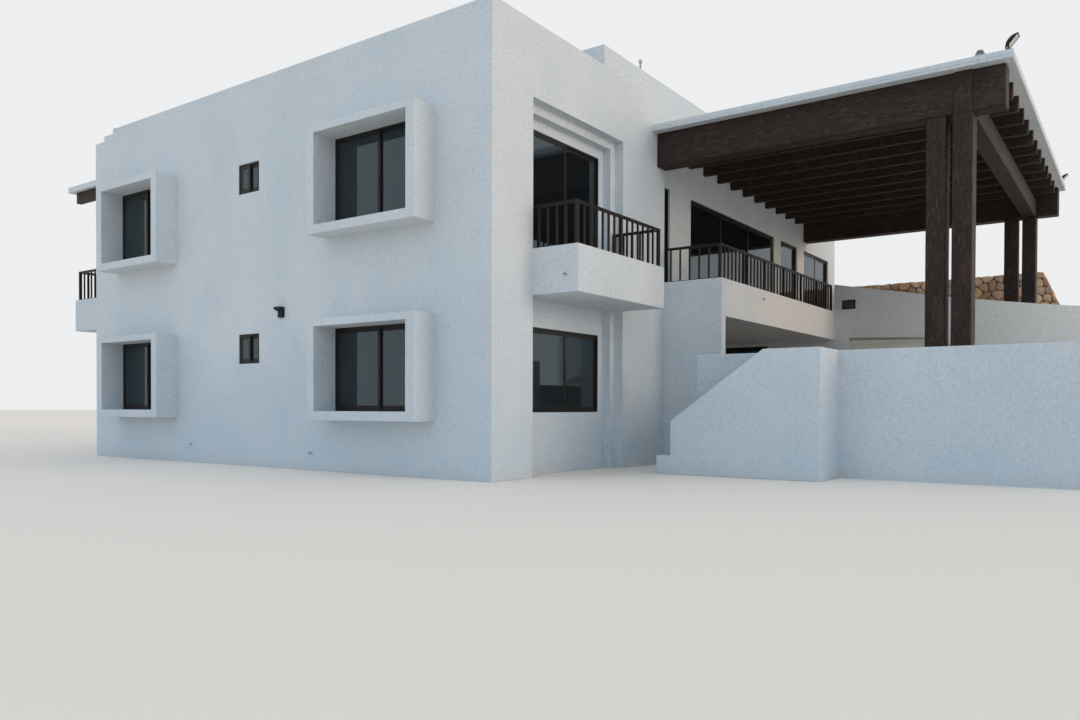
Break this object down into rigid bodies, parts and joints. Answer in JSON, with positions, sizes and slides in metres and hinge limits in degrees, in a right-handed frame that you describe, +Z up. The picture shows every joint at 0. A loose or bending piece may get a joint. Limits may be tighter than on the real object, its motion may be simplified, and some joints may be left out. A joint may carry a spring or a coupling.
{
  "type": "beach house",
  "caption": "Two-storey white stucco house with plastered window boxes, a corner balcony, a railed terrace under a dark-beamed pergola roof, a swept wall and a garden stair.",
  "frame": {"origin": "foot of the near corner, where the front and the left end wall meet, on the base plane", "axes": "+X along the front towards the wing, +Y back along the left end wall, +Z up"},
  "size_m": [18.11, 20.69, 8.19],
  "materials": {
    "white_stucco": "fine white painted stucco",
    "cream_stucco": "fine cream painted stucco",
    "plain_screed": "plain cement screed",
    "rubble_stone": "rough tan and brown rubble in mortar",
    "dark_beams": "dark brown stained and painted",
    "dark_railing": "dark brown satin paint",
    "bronze_frames": "dark bronze satin",
    "tinted_glass": "dark tinted reflective glass",
    "lamp_metal": "dark satin",
    "grey_pipe": "weathered grey"
  },
  "bodies": {
    "root": {"left_wall": "white_stucco", "front_wall": "white_stucco", "lower_wing_wall": "white_stucco", "upper_wing_wall": "white_stucco", "rear_wall": "white_stucco", "right_wall": "white_stucco", "raised_parapet": "white_stucco", "ground_floor": "plain_screed", "upper_floor": "plain_screed", "roof_slab": "plain_screed", "window_boxes": "white_stucco", "front_balcony": "white_stucco", "front_balcony_railing": "dark_railing", "terrace_slab": "white_stucco", "terrace_railing": "dark_railing", "terrace_end_wall": "white_stucco", "swept_wall": "white_stucco", "swept_base_wall": "cream_stucco", "upper_deck": "plain_screed", "rubble_wall": "rubble_stone", "retaining_walls": "white_stucco", "pergola_columns": "dark_beams", "pergola_beams": "dark_beams", "pergola_girder": "dark_beams", "pergola_joists": "dark_beams", "pergola_slab": "white_stucco", "garden_wall": "white_stucco", "stair_parapet": "white_stucco", "garden_stair": "white_stucco", "raised_terrace": "plain_screed", "rear_balcony": "white_stucco", "rear_balcony_railing": "dark_railing", "rear_canopy": "white_stucco", "rear_canopy_joists": "dark_beams", "left_window_frames": "bronze_frames", "left_window_glass": "tinted_glass", "front_window_frames": "bronze_frames", "front_window_glass": "tinted_glass", "wing_window_frames": "bronze_frames", "wing_window_glass": "tinted_glass", "rear_window_frames": "bronze_frames", "rear_window_glass": "tinted_glass", "right_window_frames": "bronze_frames", "right_window_glass": "tinted_glass", "wall_lamp": "lamp_metal", "floodlights": "lamp_metal", "vents_and_spouts": "grey_pipe"}
  },
  "joints": []
}
